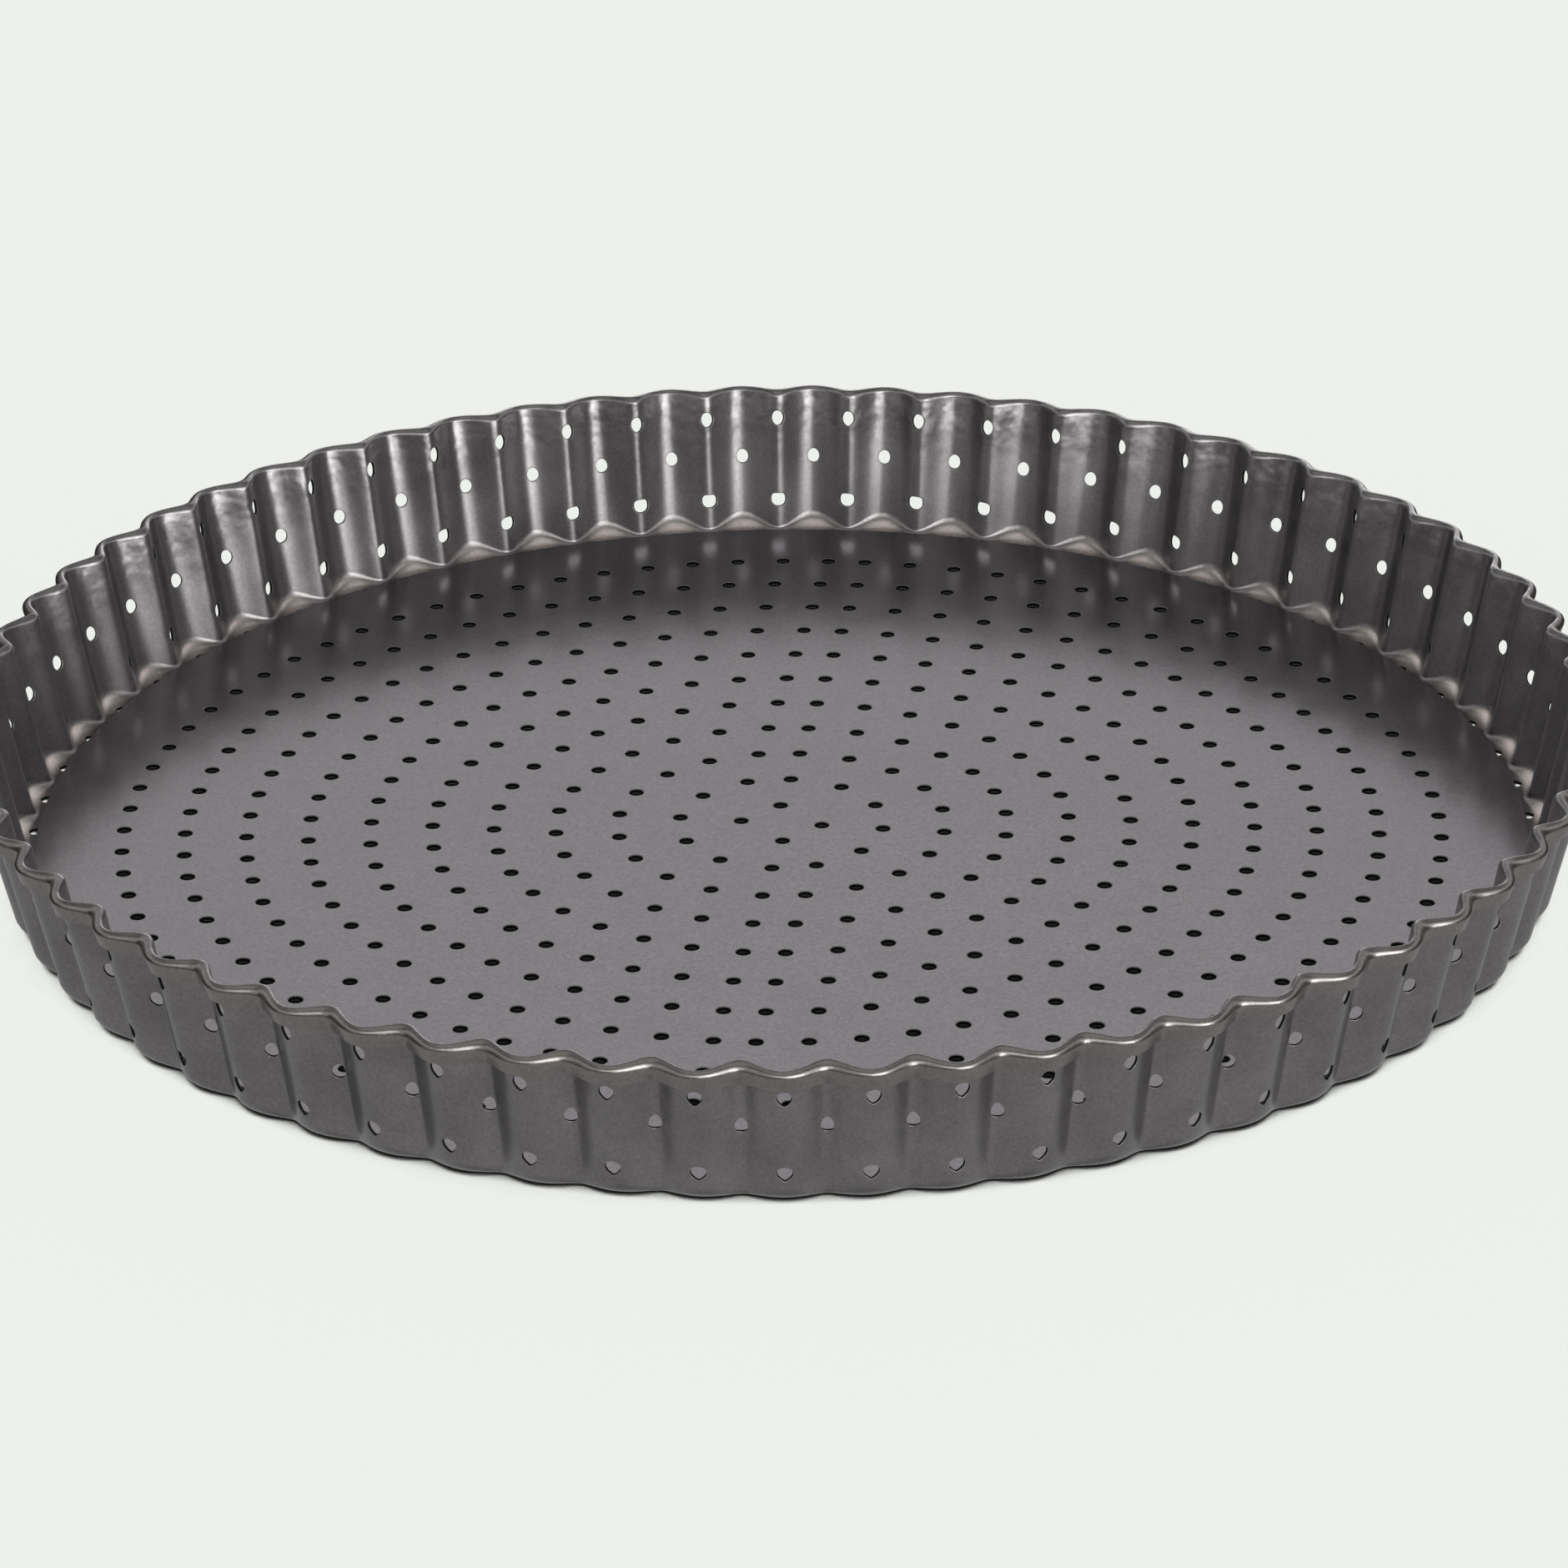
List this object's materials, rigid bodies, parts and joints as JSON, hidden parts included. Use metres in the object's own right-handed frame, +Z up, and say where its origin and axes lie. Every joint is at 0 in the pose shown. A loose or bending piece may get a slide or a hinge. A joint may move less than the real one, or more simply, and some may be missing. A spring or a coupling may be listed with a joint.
{
  "type": "perforated tart pan",
  "caption": "Round fluted tart pan of perforated non-stick steel, with a folded rim and a loose flat base that lifts out.",
  "frame": {"origin": "on the surface the pan stands on, under the middle of the base", "axes": "+Z is up, along the pan's own axis. +Y is the side farthest from the viewer in the usual view, where a crease of the fluting lies on the axis, and -Y is the near side, where a lobe does"},
  "size_m": [0.28, 0.2798, 0.027],
  "materials": {
    "ring_coating": "satin dark grey non-stick coating, a little warmer and worn bright along the folded rim",
    "base_coating": "smooth semi-gloss mid-grey non-stick coating"
  },
  "bodies": {
    "ring": {"fluted_ring": "ring_coating"},
    "base": {"loose_base": "base_coating"}
  },
  "joints": [
    {"name": "base_lift", "type": "slide", "parent": "ring", "child": "base", "axis": [0, 0, 1], "range_m": [0, 0.05]}
  ]
}
